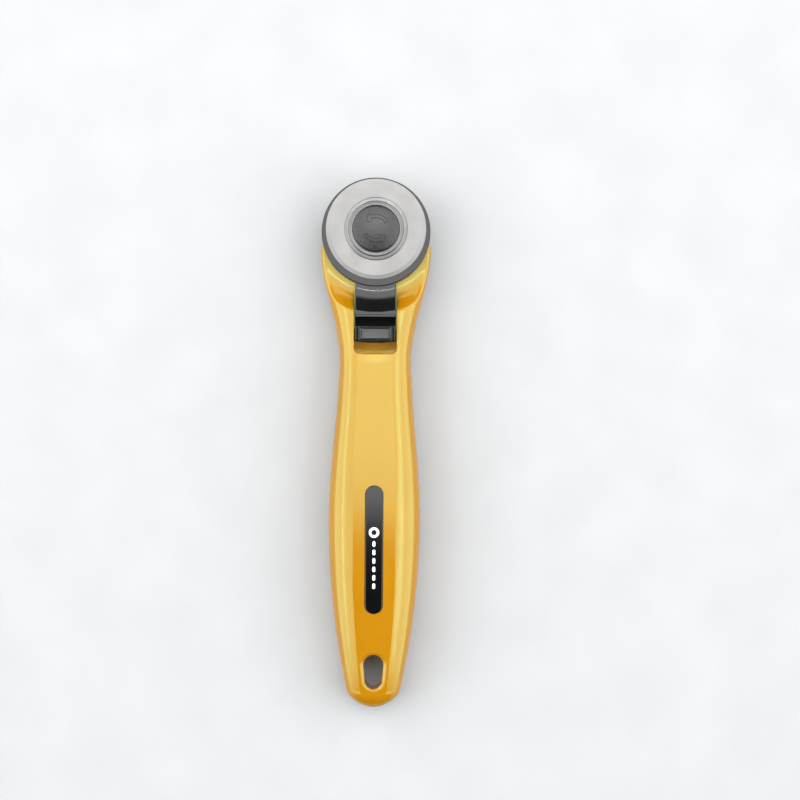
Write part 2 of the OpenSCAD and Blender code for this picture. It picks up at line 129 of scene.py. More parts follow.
def prism(outline, z0, z1, taper=0.0):
    """A solid on an outline of (x, y) points, between two heights. taper draws its top in."""
    outline = np.asarray(outline, float)
    count = len(outline)
    along = np.roll(outline, -1, axis=0) - np.roll(outline, 1, axis=0)
    inward = np.stack([-along[:, 1], along[:, 0]], axis=-1) / np.hypot(*along.T)[:, None]
    points = [(x, y, z) for z, ring in ((z0, outline), (z1, outline + taper * inward)) for x, y in ring]
    faces = ring_faces(2, count, True)
    faces += [tuple(range(count - 1, -1, -1)), tuple(range(count, 2 * count))]
    return piece_from("prism", points, faces)


front_low, front_high = cad_box("handle_front_shell")
back_high = cad_box("handle_back_shell")[1]
blade_low, blade_high = cad_box("blade")
bolt_y = (blade_low[1] + blade_high[1]) / 2
tail_s = bolt_y - front_low[1]
nose_r = front_high[1] - bolt_y
split_z = front_low[2]
belly_z = front_high[2]
shoulder_w = front_high[0]
shoulder_s = 4.7
waist_w, waist_s = 10.2, 36.5
belly_w, belly_s = 12.85, 81
tail_w, tail_round = 7.45, 4.3
crest_z, crest_s = 15.4, 23.2
tail_z = 12.8
panel_w = 5.8
shoulder_power, shoulder_fall = 4.5, 0.27
corner_s = tail_s - tail_round
tail_arc_r = (tail_w ** 2 + tail_round ** 2) / (2 * tail_round)


def ease(t):
    return (1 - np.cos(np.pi * np.clip(t, 0, 1))) / 2


def smooth_min(a, b, blend):
    """The lower of two heights, rounded off where they meet."""
    near = np.maximum(blend - np.abs(a - b), 0) / blend
    return np.minimum(a, b) - near * near * blend / 4


def rounding(distance, radius):
    """How far a face drops near an edge that is rounded to that radius."""
    near = np.clip(radius - distance, 0, radius)
    return radius - np.sqrt(radius ** 2 - near ** 2)


def half_width(s):
    """Half the handle's width, from its tail up to its shoulders."""
    s = np.asarray(s, float)
    neck = shoulder_w - (shoulder_w - waist_w) * ease((s - shoulder_s) / (waist_s - shoulder_s))
    grip = waist_w + (belly_w - waist_w) * ease((s - waist_s) / (belly_s - waist_s))
    taper = belly_w - (belly_w - tail_w) * ((s - belly_s) / (corner_s - belly_s)) ** 2
    arc = np.sqrt(np.maximum(tail_arc_r ** 2 - (s - tail_s + tail_arc_r) ** 2, 0.04))
    width = np.where(s < waist_s, neck, np.where(s < belly_s, grip, taper))
    return np.where(s < corner_s, width, np.minimum(width, arc))


def head_half_width(s):
    """The same with the head plate: a round nose and two straight flanks out to the shoulders."""
    flank_x, flank_s, corner_r = shoulder_w - 1.3, shoulder_s + 1.4, 1.0
    lean = math.atan2(flank_x, flank_s) - math.asin((nose_r - corner_r) / math.hypot(flank_x, flank_s))
    nose = np.sqrt(np.maximum(nose_r ** 2 - s ** 2, 0.0025))
    flank = (nose_r + s * math.sin(lean)) / math.cos(lean)
    head = np.where(s < -nose_r * math.sin(lean), nose, flank)
    return np.where(s < shoulder_s, head, half_width(s))


def tail_fade(s):
    past = np.clip((s - corner_s) / tail_round, 0, 1)
    return np.sqrt(1 - 0.7 * past ** 2)


def front_height(s):
    """Height of the front face's middle above the split."""
    rise = crest_z + (belly_z - crest_z) * ease((s - crest_s) / (belly_s - crest_s))
    fall = belly_z - (belly_z - tail_z) * ((np.minimum(s, corner_s) - belly_s) / (corner_s - belly_s)) ** 2
    return tail_fade(s) * (np.where(s < belly_s, rise, fall) - split_z)


def back_depth(s):
    """Depth of the back face's middle below the split."""
    step_z, start_s, flat_s, rise_s, rise = 5.0, 17.0, 52.0, corner_s - 21, 1.2
    head = step_z * (1 - ease((s - start_s) / (flat_s - start_s)))
    tail = rise * (np.clip((s - rise_s) / (corner_s - rise_s), 0, 1)) ** 2
    return tail_fade(s) * (split_z - np.where(s < flat_s, head, tail))


def section_columns():
    """Where a cross-section's points lie: 0 to 1 over the flat panel, 1 to 2 over the shoulder."""
    over = np.concatenate([np.linspace(0, 0.12, 6)[1:], np.linspace(0.12, 0.62, 15)[1:]])
    angles = np.linspace(math.acos(0.62 ** (shoulder_power / 2)), 0, 13)[1:]
    over = np.concatenate([over, np.cos(angles) ** (2 / shoulder_power)])
    half = np.concatenate([np.linspace(0, 1, 10), 1 + over])
    return np.concatenate([-half[:0:-1], half])


def grip_ribs(s, over):
    """Sideways depth of the fine ribs moulded into both sides of the narrow grip."""
    pitch, first_s, last_s = 0.74, 32.2, 41.2
    inside = np.clip((s - first_s) / 0.3, 0, 1) * np.clip((last_s - s) / 0.3, 0, 1)
    ridge = 0.5 + 0.5 * np.cos(2 * np.pi * (s - first_s) / pitch)
    return inside * np.clip((over - 0.72) / 0.1, 0, 1) * (0.10 + 0.17 * ridge)


def shell_grid(stations, width_at, height_at):
    """Points of one shell's skin: rows at the stations, columns across. Gives x, s and height."""
    column = section_columns()[None, :]
    s = np.asarray(stations, float)[:, None] + 0 * column
    width = width_at(s)
    flat = np.minimum(panel_w, 0.48 * width)
    over = np.clip(np.abs(column) - 1, 0, 1)
    reach = width - grip_ribs(s, over) - flat
    x = np.sign(column) * (flat * np.minimum(np.abs(column), 1) + reach * over)
    height = height_at(s)
    fall = shoulder_fall * reach / height * (np.hypot(over, 0.04) - 0.04)
    height = height * (1 - fall) * (1 - over ** shoulder_power) ** (1 / shoulder_power)
    return x, s, height


def shell_solid(name, x, s, z, split):
    """Closes a skin with a flat underside at the split."""
    rows, columns = x.shape
    points = np.stack([x, bolt_y - s, z], axis=-1).reshape(-1, 3)
    faces = ring_faces(rows, columns, False)
    left = [r * columns for r in range(rows)]
    right = [r * columns + columns - 1 for r in range(rows)]
    faces += [(left[r], left[r + 1], right[r + 1], right[r]) for r in range(rows - 1)]
    faces.append(tuple(range(columns)))
    faces.append(tuple((rows - 1) * columns + c for c in range(columns)))
    return piece_from(name, points, faces)


def slot_distance(x, s, wide_r, narrow_r, wide_s, run):
    """Distance outside the tapered hanging slot."""
    along = np.clip((s - wide_s) / run, 0, 1)
    return np.hypot(x, s - wide_s - along * run) - (wide_r + (narrow_r - wide_r) * along)


def rounded_bar(half_w, s0, s1, r0, r1, steps=10):
    """Outline of a bar with corner radius r0 at its near end and r1 at its far end, as (x, y)."""
    outline = []
    for cx, cs, r, start in ((half_w - r0, s0 + r0, r0, 90), (r0 - half_w, s0 + r0, r0, 180),
                             (r1 - half_w, s1 - r1, r1, 270), (half_w - r1, s1 - r1, r1, 360)):
        for i in range(steps + 1):
            a = math.radians(start - 90 + 90 * i / steps)
            outline.append((cx + r * math.cos(a), bolt_y - cs + r * math.sin(a)))
    return outline


def circle_outline(r, s=0.0, steps=96):
    turn = np.linspace(0, 2 * np.pi, steps, endpoint=False)
    return np.stack([r * np.cos(turn), bolt_y - s + r * np.sin(turn)], axis=-1)


def bar_distance(x, s, half_w, s0, s1, corner):
    """Distance outside a bar with rounded corners. Inside it the distance is negative."""
    dx = np.abs(x) - half_w + corner
    ds = np.abs(s - (s0 + s1) / 2) - (s1 - s0) / 2 + corner
    return np.hypot(np.maximum(dx, 0), np.maximum(ds, 0)) + np.minimum(np.maximum(dx, ds), 0) - corner


def slab(name, x, s, low, high):
    """A solid between two heights over the same grid of places."""
    rows, columns = x.shape
    skins = [np.stack([x, bolt_y - s, z + 0 * x], axis=-1).reshape(-1, 3) for z in (low, high)]
    count = rows * columns
    faces = ring_faces(rows, columns, False)
    faces = faces + [tuple(count + i for i in face[::-1]) for face in faces]
    rim = [c for c in range(columns)] + [r * columns + columns - 1 for r in range(1, rows)]
    rim += [(rows - 1) * columns + c for c in range(columns - 2, -1, -1)]
    rim += [r * columns for r in range(rows - 2, 0, -1)]
    faces += [(a, b, count + b, count + a) for a, b in zip(rim, rim[1:] + rim[:1])]
    return piece_from(name, np.concatenate(skins), faces)


def bar_grid(s0, s1, half_w, rows, columns, corner=0.0, bulge=0.0):
    """Places over a bar, closer together at its edges. bulge curves its far end outwards."""
    spots = (s0 + s1) / 2 - (s1 - s0) / 2 * np.cos(np.linspace(0, np.pi, rows))
    across = np.sin(np.linspace(-np.pi / 2, np.pi / 2, columns))
    s = spots[:, None] + 0 * across[None, :]
    from_end = np.minimum(s - s0, s1 - s)
    pinch = corner - np.sqrt(np.maximum(corner ** 2 - np.maximum(corner - from_end, 0) ** 2, 0))
    x = (half_w - pinch) * across[None, :]
    fade = np.clip((s - s0) / (s1 - s0), 0, 1)
    return x, s - bulge * fade * across[None, :] ** 2


guard_low, guard_high = cad_box("guard")
guard_back = blade_high[1] - guard_high[1] + (guard_high[0] - blade_high[0])
guard_r = guard_high[0]
floor_z = guard_low[2] - 0.1
bowl_r, bowl_curve_r = 16.9, 6.6
stem_w = 5.7
channel_w = stem_w + 0.3
stem_end_s = bolt_y - guard_low[1]
slide = next(j for j in frame["record"]["behaviour"]["joints"] if j["name"] == "guard_slide")
travel = slide["range_m"][1] / MM
channel_end_s = stem_end_s + travel + 0.3
channel_corner, channel_fillet, channel_tilt = 1.7, 0.25, 0.1
hang_wide_r, hang_narrow_r, hang_run = 2.8, 2.35, 4.4
hang_s = tail_s - 7.6 - hang_run
screw_low, screw_high = cad_box("shell_screws")
screw_head_r, screw_hole_r = screw_high[0], 1.2
screw_spots = np.linspace(bolt_y - screw_high[1], bolt_y - screw_low[1], 3)
screw_spots += screw_head_r * np.array([1, 0, -1])
bush_low, bush_high = cad_box("pivot_bush")
badge_low, badge_high = cad_box("handle_badge")
badge_w = (badge_high[0] - badge_low[0]) / 2
badge_s0, badge_s1 = bolt_y - badge_high[1], bolt_y - badge_low[1]
spring_post_s, spring_post_r = channel_end_s + 13.4, 1.5


def bowl_height(x, s, low_z, start_r, curve_r):
    """Height of a bowl around the bolt: flat, then a hollow curve that ends in a steep slope."""
    steep = math.radians(74)
    out = np.hypot(x, s) - start_r
    arc = np.clip(out, 0, curve_r * math.sin(steep))
    beyond = np.maximum(out - curve_r * math.sin(steep), 0) * math.tan(steep)
    return low_z + curve_r - np.sqrt(curve_r ** 2 - arc ** 2) + beyond


def slot_outline():
    outline = []
    lean = math.asin((hang_narrow_r - hang_wide_r) / hang_run)
    ends = ((hang_s, hang_wide_r, lean, math.pi - lean),
            (hang_s + hang_run, hang_narrow_r, math.pi - lean, 2 * math.pi + lean))
    for centre_s, r, first, last in ends:
        for a in np.linspace(first, last, 24):
            outline.append((r * math.cos(a), bolt_y - centre_s + r * math.sin(a)))
    return outline


def shell_hollow(z0, z1, inset=2.6):
    """The handle's inner room, with the screws' bosses left standing in it."""
    stations = np.linspace(channel_end_s + 2.4, hang_s - hang_wide_r - 3, 24)
    side = half_width(stations) - inset
    outline = [(w, bolt_y - s) for w, s in zip(side, stations)]
    outline += [(-w, bolt_y - s) for w, s in zip(side[::-1], stations[::-1])]
    room = prism(outline, z0, z1)
    for s in screw_spots:
        cut(room, prism(circle_outline(screw_head_r + 0.9, s, 40), z0 - 1, z1 + 1))
    return room


def channel_tool():
    """What the slider's channel takes away: its floor sinks a little towards the filleted far end."""
    fillet = channel_fillet
    s0 = 12
    x, s = bar_grid(s0, channel_end_s, channel_w, 90, 30, 0, 0.3)
    rise = np.maximum(s + 0.3 * (x / channel_w) ** 2 - channel_end_s + fillet, 0)
    low = floor_z + fillet - np.sqrt(np.maximum(fillet ** 2 - np.minimum(rise, fillet) ** 2, 0))
    low = low - channel_tilt * np.maximum(s - 28, 0)
    tool = slab("channel", x, s, low, 40)
    sides = prism(rounded_bar(channel_w, s0 - 1, channel_end_s, 0.5, channel_corner), 0, 50)
    return cut(tool, sides, "INTERSECT")


def front_shell():
    theta = np.linspace(0.03, 1.15, 22)
    nose = -nose_r * np.cos(theta)
    stations = np.concatenate([nose, np.arange(nose[-1] + 0.5, shoulder_s - 0.4, 0.5),
                               np.arange(shoulder_s - 0.3, shoulder_s + 0.6, 0.1),
                               np.arange(shoulder_s + 0.8, 32, 0.3), np.arange(32, 41.6, 0.0925),
                               np.arange(42, hang_s - 4, 0.9), np.arange(hang_s - 4, corner_s, 0.3),
                               corner_s + tail_round * np.sin(np.linspace(0.02, math.pi / 2, 18))])
    x, s, height = shell_grid(stations, head_half_width, front_height)
    z = split_z + height
    z = np.maximum(smooth_min(z, bowl_height(x, s, floor_z, bowl_r, bowl_curve_r), 2.2), split_z)
    beside = bar_distance(x, s, channel_w, 3, channel_end_s, channel_corner)
    z = z - np.where(s > 20, rounding(np.maximum(beside, 0), 0.45), 0)
    dish = np.clip(1 - np.hypot(x / 6.5, (s - channel_end_s) / 3.2), 0, 1)
    z = z - np.where(s > channel_end_s - 1, 0.1 * ease(dish), 0)
    hang = slot_distance(x, s, hang_wide_r, hang_narrow_r, hang_s, hang_run)
    z = z - rounding(np.maximum(hang, 0), 0.8)
    z = np.where(height < 1e-6, split_z, np.maximum(z, split_z))
    shell = shell_solid("handle_front", x, s, z, split_z)
    cut(shell, channel_tool())
    cut(shell, prism(rounded_bar(2.9, 19.1, 29.8, 0.3, 0.3), 0, floor_z + 1))
    cut(shell, prism(rounded_bar(5.9, 18.0, channel_end_s + 1, 0.3, 0.3), 0, floor_z - 1.5))
    cut(shell, prism(rounded_bar(2.32, channel_end_s, channel_end_s + 3.4, 0.1, 0.1), 0, floor_z - 1.5))
    room = shell_hollow(split_z - 1, tail_z - 2)
    cut(room, prism(circle_outline(spring_post_r, spring_post_s, 40), split_z + 0.2, 40))
    cut(shell, room)
    for spot in screw_spots:
        cut(shell, prism(circle_outline(screw_hole_r, spot, 32), 0, screw_high[2] + 0.3))
    cut(shell, prism(circle_outline(bush_high[0]), 0, 40))
    cut(shell, prism(slot_outline(), 0, 40))
    recess_outline = rounded_bar(badge_w + 0.1, badge_s0 - 0.1, badge_s1 + 0.1, badge_w, badge_w, 16)
    recess = prism(recess_outline, split_z, 40)
    x, s = bar_grid(badge_s0 - 2, badge_s1 + 2, badge_w + 2, 60, 8)
    face = split_z + front_height(s)
    cut(recess, slab("face", x, s, face - 0.6, face + 9), "INTERSECT")
    return cut(shell, recess)


def new_material(name):
    """A node material. Gives it, its nodes, its links, its shader and its Object coordinates."""
    material = bpy.data.materials.new(name)
    material.use_nodes = True
    nodes, links = material.node_tree.nodes, material.node_tree.links
    place = nodes.new("ShaderNodeTexCoord").outputs["Object"]
    return material, nodes, links, nodes["Principled BSDF"], place


def noise(nodes, links, place, scale, detail=3):
    texture = nodes.new("ShaderNodeTexNoise")
    texture.inputs["Scale"].default_value = scale
    texture.inputs["Detail"].default_value = detail
    links.new(place, texture.inputs["Vector"])
    return texture.outputs["Fac"]


def between(nodes, links, factor, low, high, start=0.35, end=0.65):
    """A value or a colour that goes from low to high as the factor rises."""
    if isinstance(low, tuple):
        ramp = nodes.new("ShaderNodeValToRGB")
        for element, colour, spot in zip(ramp.color_ramp.elements, (low, high), (start, end)):
            element.color = (*colour, 1)
            element.position = spot
        links.new(factor, ramp.inputs["Fac"])
        return ramp.outputs["Color"]
    spread = nodes.new("ShaderNodeMapRange")
    for label, value in (("From Min", start), ("From Max", end), ("To Min", low), ("To Max", high)):
        spread.inputs[label].default_value = value
    links.new(factor, spread.inputs["Value"])
    return spread.outputs["Result"]


def raise_bumps(nodes, links, factor, depth, shader):
    """Bumps of a depth in millimetres."""
    bump = nodes.new("ShaderNodeBump")
    bump.inputs["Distance"].default_value = depth * MM
    links.new(factor, bump.inputs["Height"])
    links.new(bump.outputs["Normal"], shader.inputs["Normal"])


def moulded(name, dark, light, roughness, grain=900, depth=0.004):
    """Moulded plastic: a colour that drifts a little, over the faint skin left by the mould."""
    material, nodes, links, shader, place = new_material(name)
    drift = noise(nodes, links, place, 60)
    skin = noise(nodes, links, place, grain, 5)
    links.new(between(nodes, links, drift, dark, light), shader.inputs["Base Color"])
    links.new(between(nodes, links, skin, roughness * 0.8, roughness * 1.25), shader.inputs["Roughness"])
    raise_bumps(nodes, links, skin, depth, shader)
    return material


yellow = moulded("yellow_moulding", (0.335, 0.14, 0.0004), (0.36, 0.15, 0.0006), 0.155, 700, 0.002)
yellow_shader = yellow.node_tree.nodes["Principled BSDF"]
yellow_shader.inputs["IOR"].default_value = 1.76
yellow_shader.inputs["Specular Tint"].default_value = (0.45, 1.0, 0.5, 1)
yellow_shader.inputs["Subsurface Weight"].default_value = 0.1
yellow_shader.inputs["Subsurface Radius"].default_value = (1.0, 0.35, 0.04)
yellow_shader.inputs["Subsurface Scale"].default_value = 1.2 * MM

handle_front = front_shell()
fitted(handle_front, yellow, "handle", "yellow_body", "handle_front_shell")


# Back half of the handle: the same yellow moulding, closed over the front half and held to it
# by three case screws in counterbored holes down its middle.
def back_shell():
    start_s = bolt_y - back_high[1]
    stations = np.concatenate([start_s + np.array([0, 0.12, 0.3, 0.5]), np.arange(start_s + 0.8, 32, 0.6),
                               np.arange(32, 41.6, 0.0925), np.arange(42, hang_s - 4, 0.9),
                               np.arange(hang_s - 4, corner_s, 0.3),
                               corner_s + tail_round * np.sin(np.linspace(0.02, math.pi / 2, 18))])
    x, s, depth = shell_grid(stations, half_width, back_depth)
    depth = depth - np.minimum(rounding(s - start_s, 0.5), 0.5 * depth)
    hang = slot_distance(x, s, hang_wide_r, hang_narrow_r, hang_s, hang_run)
    depth = np.maximum(depth - rounding(np.maximum(hang, 0), 0.8), 0)
    for spot in screw_spots:
        around = np.hypot(x, s - spot) - screw_head_r - 0.1
        depth = np.maximum(depth - rounding(np.maximum(around, 0), 0.25), 0)
    shell = shell_solid("handle_back", x, s, split_z - depth, split_z)
    room = shell_hollow(2.0, split_z + 1)
    cut(room, prism(rounded_bar(20, channel_end_s, 48, 1, 1), 0, split_z - 1.2))
    cut(shell, room)
    for spot in screw_spots:
        cut(shell, prism(circle_outline(screw_head_r + 0.1, spot, 48), -1, 1.8))
        cut(shell, prism(circle_outline(screw_hole_r + 0.1, spot, 32), -1, split_z + 1))
    return cut(shell, prism(slot_outline(), -1, 40))


handle_back = back_shell()
fitted(handle_back, yellow, "handle", "yellow_body", "handle_back_shell")


# Case screws: three alike, steel with a pan head and a cross recess, driven up from the back
# through the back shell into bosses in the front one.
def lathe(name, profile, s=0.0, steps=128, lift=None):
    """A turned solid about an axis s behind the bolt, from a closed outline of (radius, z)."""
    turn = np.linspace(0, 2 * np.pi, steps, endpoint=False)
    profile = np.asarray(profile, float)
    radius, z = (profile[:, i][:, None] + 0 * turn for i in (0, 1))
    x, y = radius * np.cos(turn), radius * np.sin(turn)
    z = z if lift is None else z + lift(x, y)
    points = np.stack([x, bolt_y - s + y, z], axis=-1).reshape(-1, 3)
    if profile[0][0] > 0:
        points = np.concatenate([points, points[:steps]])
    return piece_from(name, points, ring_faces(len(points) // steps, steps, True))


def soften(outline, radii, steps=5):
    """Rounds each corner of a closed outline to its own radius."""
    softened = []
    for i, radius in enumerate(radii):
        corner = Vector(outline[i])
        if radius == 0:
            softened.append(tuple(corner))
            continue
        before = (Vector(outline[i - 1]) - corner).normalized()
        after = (Vector(outline[(i + 1) % len(outline)]) - corner).normalized()
        half = before.angle(after) / 2
        middle = corner + (before + after).normalized() * radius / math.sin(half)
        first = corner + before * radius / math.tan(half) - middle
        swing = first.angle_signed(corner + after * radius / math.tan(half) - middle)
        for step in range(steps + 1):
            a = -swing * step / steps
            softened.append((middle.x + first.x * math.cos(a) - first.y * math.sin(a),
                             middle.y + first.x * math.sin(a) + first.y * math.cos(a)))
    return softened


def threaded_rod(name, radius, depth, pitch, z0, z1, s=0.0, steps=36):
    """A rod with a helical thread, drawn in at its end z0."""
    turn = np.linspace(0, 2 * np.pi, steps, endpoint=False)[None, :]
    z = np.linspace(z0, z1, int((z1 - z0) / pitch * 6) + 1)[:, None]
    ridge = np.abs(2 * ((z / pitch - turn / (2 * np.pi)) % 1) - 1)
    r = np.minimum(radius - depth * ridge, radius - depth + (z - z0))
    points = np.stack([r * np.cos(turn), bolt_y - s + r * np.sin(turn), z + 0 * turn], axis=-1)
    rows = len(z)
    faces = ring_faces(rows, steps, True)
    faces += [tuple(range(steps)), tuple((rows - 1) * steps + c for c in range(steps))]
    return piece_from(name, points.reshape(-1, 3), faces)


def cross_outline(width, length, s):
    w, h = width / 2, length / 2
    corners = [(w, h), (-w, h), (-w, w), (-h, w), (-h, -w), (-w, -w),
               (-w, -h), (w, -h), (w, -w), (h, -w), (h, w), (w, w)]
    return [(x, bolt_y - s + y) for x, y in corners]


def case_screw(name, head_r, head_t, shank_r, length, s):
    """A cross-head screw whose head's face lies at z = 0 and whose thread points up."""
    bevel = 0.25 * head_t
    head = soften([(0, 0), (head_r, 0), (head_r, head_t), (0, head_t)], [0, 0.3 * head_t, bevel, 0])
    screw = lathe(name, head, s, 40)
    rod = threaded_rod("thread", shank_r, 0.2 * shank_r, 0.8 * shank_r, -length, 0.01 - head_t, s, 24)
    rod.data.transform(Matrix.Diagonal((1, 1, -1, 1)))
    rod.data.flip_normals()
    cut(screw, rod, "UNION")
    return cut(screw, prism(cross_outline(0.3 * head_r, 1.2 * head_r, s), -1, 0.55 * head_t))


def copies_tree():
    """A node tree that sets copies of its geometry along a line and turns each a step further."""
    tree = bpy.data.node_groups.new("copies", "GeometryNodeTree")
    face = tree.interface
    face.new_socket("Geometry", in_out="INPUT", socket_type="NodeSocketGeometry")
    for label, kind in (("Count", "NodeSocketInt"), ("Start", "NodeSocketVector"),
                        ("Step", "NodeSocketVector"), ("Turn", "NodeSocketFloat"),
                        ("Material", "NodeSocketMaterial")):
        face.new_socket(label, in_out="INPUT", socket_type=kind)
    face.new_socket("Geometry", in_out="OUTPUT", socket_type="NodeSocketGeometry")
    nodes, links = tree.nodes, tree.links
    given, result = nodes.new("NodeGroupInput"), nodes.new("NodeGroupOutput")
    line = nodes.new("GeometryNodeMeshLine")
    spread = nodes.new("GeometryNodeInstanceOnPoints")
    index = nodes.new("GeometryNodeInputIndex")
    angle = nodes.new("ShaderNodeMath")
    angle.operation = "MULTIPLY"
    turned = nodes.new("ShaderNodeCombineXYZ")
    solid = nodes.new("GeometryNodeRealizeInstances")
    coat = nodes.new("GeometryNodeSetMaterial")
    links.new(given.outputs["Count"], line.inputs["Count"])
    links.new(given.outputs["Start"], line.inputs["Start Location"])
    links.new(given.outputs["Step"], line.inputs["Offset"])
    links.new(line.outputs["Mesh"], spread.inputs["Points"])
    links.new(given.outputs["Geometry"], spread.inputs["Instance"])
    links.new(index.outputs["Index"], angle.inputs[0])
    links.new(given.outputs["Turn"], angle.inputs[1])
    links.new(angle.outputs[0], turned.inputs["Z"])
    links.new(turned.outputs["Vector"], spread.inputs["Rotation"])
    links.new(spread.outputs["Instances"], solid.inputs["Geometry"])
    links.new(solid.outputs["Geometry"], coat.inputs["Geometry"])
    links.new(given.outputs["Material"], coat.inputs["Material"])
    links.new(coat.outputs["Geometry"], result.inputs["Geometry"])
    return tree


copies = copies_tree()


def repeated(piece, material, count, start, step=(0, 0, 0), turn=0.0):
    """Replaces a piece made around the origin by copies of it. start and step are in millimetres."""
    change = piece.modifiers.new("copies", "NODES")
    change.node_group = copies
    values = {"Count": count, "Start": [v * MM for v in start], "Step": [v * MM for v in step],
              "Turn": turn, "Material": material}
    for socket in copies.interface.items_tree:
        if socket.in_out == "INPUT" and socket.name in values:
            change[socket.identifier] = values[socket.name]
    piece.update_tag()
    depsgraph = bpy.context.evaluated_depsgraph_get()
    mesh = bpy.data.meshes.new_from_object(piece.evaluated_get(depsgraph))
    piece.modifiers.remove(change)
    piece.data = mesh
    return piece


def turned_metal(name, dark, light, roughness, pitch=0.12, depth=0.002, centre_s=0.0):
    """Metal with fine marks around the axis it was turned on, and a soft drift in its tone."""
    material, nodes, links, shader, place = new_material(name)
    middle = nodes.new("ShaderNodeVectorMath")
    middle.operation = "SUBTRACT"
    middle.inputs[1].default_value = (0, (bolt_y - centre_s) * MM, 0)
    flat = nodes.new("ShaderNodeVectorMath")
    flat.operation = "MULTIPLY"
    flat.inputs[1].default_value = (1, 1, 0)
    radius = nodes.new("ShaderNodeVectorMath")
    radius.operation = "LENGTH"
    rings = nodes.new("ShaderNodeTexNoise")
    rings.noise_dimensions = "1D"
    rings.inputs["Scale"].default_value = 1 / (pitch * MM)
    rings.inputs["Detail"].default_value = 2
    links.new(place, middle.inputs[0])
    links.new(middle.outputs["Vector"], flat.inputs[0])
    links.new(flat.outputs["Vector"], radius.inputs[0])
    links.new(radius.outputs["Value"], rings.inputs["W"])
    drift = noise(nodes, links, place, 150)
    links.new(between(nodes, links, drift, dark, light), shader.inputs["Base Color"])
    links.new(between(nodes, links, rings.outputs["Fac"], roughness * 0.75, roughness * 1.3),
              shader.inputs["Roughness"])
    raise_bumps(nodes, links, rings.outputs["Fac"], depth, shader)
    shader.inputs["Metallic"].default_value = 1
    return material


screw_steel = turned_metal("screw_steel", (0.42, 0.43, 0.45), (0.5, 0.51, 0.53), 0.32,
                           centre_s=screw_spots[0])
case_screws = case_screw("case_screws", screw_head_r, 1.4, screw_hole_r - 0.02, screw_high[2] - 0.4, bolt_y)
repeated(case_screws, screw_steel, 3, (0, bolt_y - screw_spots[0], screw_low[2]),
         (0, screw_spots[0] - screw_spots[1], 0))
fitted(case_screws, screw_steel, "handle", "screw_steel", "shell_screws")


# Badge: a glossy black strip pressed into its recess, with a plain printed line of white
# dashes that starts at a small ring.
def face_z(s):
    return split_z + front_height(s)


badge_black = moulded("badge_black", (0.0015, 0.0015, 0.0015), (0.0025, 0.0025, 0.0025), 0.08, 400, 0.001)
x, s = bar_grid(badge_s0, badge_s1, badge_w, 120, 24, badge_w)
badge_edge = rounding(np.maximum(-bar_distance(x, s, badge_w, badge_s0, badge_s1, badge_w), 0), 0.25)
badge = slab("badge", x, s, face_z(s) - 0.58, face_z(s) - 0.05 - badge_edge)
fitted(badge, badge_black, "handle", "badge_black", "handle_badge", sharp=50)

print_white = moulded("print_white", (0.74, 0.74, 0.73), (0.82, 0.82, 0.81), 0.4, 500, 0.002)
ink_t = 0.03
dash_l, dash_w, dash_pitch, dash_count = 1.5, 0.8, 2.35, 6
ring_s = 84.6
printed = prism([(x, y - bolt_y) for x, y in rounded_bar(dash_w / 2, -dash_l / 2, dash_l / 2, 0.35, 0.35)],
                0, ink_t)
repeated(printed, print_white, dash_count, (0, bolt_y - ring_s - 3.2, 0), (0, -dash_pitch, 0))
printed.name = "badge_print"
ring = lathe("ring", [(0.75, 0), (1.45, 0), (1.45, ink_t), (0.75, ink_t)], ring_s, 48)
cut(printed, ring, "UNION")
for vertex in printed.data.vertices:
    vertex.co.z += float(face_z(bolt_y - vertex.co.y / MM) - 0.045) * MM
fitted(printed, print_white, "handle", "badge_black")


# Pivot bush: turned steel, pressed into the head plate. Its bore has two flats that hold the
# keyed bolt from turning, and its reduced end carries the blade.
def keyed_outline(radius, flat, s=0.0):
    turn = math.acos(flat / radius)
    right = [(radius * math.cos(a), radius * math.sin(a)) for a in np.linspace(turn, math.pi - turn, 16)]
    return [(x, bolt_y - s + y) for x, y in right + [(-x, -y) for x, y in right]]


steel = turned_metal("turned_steel", (0.52, 0.53, 0.55), (0.62, 0.63, 0.64), 0.28)
seat_z = blade_low[2] - 0.03
pilot_r = 3.2
bush_profile = soften([(0, bush_low[2]), (bush_high[0], bush_low[2]), (bush_high[0], seat_z),
                       (pilot_r, seat_z), (pilot_r, bush_high[2]), (0, bush_high[2])],
                      [0, 0.15, 0.1, 0, 0.1, 0])
bush = lathe("bush", bush_profile, 0, 96)
cut(bush, prism(keyed_outline(2.65, 2.05), 0, 40))
fitted(bush, steel, "handle", "turned_steel", "pivot_bush")


# Spring washer and flat washer: bent spring steel that keeps the knob tight, and below it the
# flat washer that the knob pushes against.
washer_r = cad_box("nut_washer")[1][0]
wave_low, wave_high = cad_box("wave_washer")
wave_t = 0.4
wave_rise = wave_high[2] - wave_low[2] - 0.4
wave_bend_r = (washer_r ** 2 + wave_rise ** 2) / (2 * wave_rise)
wave_profile = soften([(2.4, -wave_t), (washer_r, -wave_t), (washer_r, 0), (2.4, 0)],
                      [0.1, 0.15, 0.15, 0.1])
wave_washer = lathe("spring_washer", wave_profile, 0, 96,
                    lambda x, y: wave_high[2] - wave_bend_r + np.sqrt(wave_bend_r ** 2 - y ** 2))
spring_steel = turned_metal("spring_steel", (0.36, 0.37, 0.4), (0.5, 0.5, 0.52), 0.25)
fitted(wave_washer, spring_steel, "handle", "spring_steel", "wave_washer")

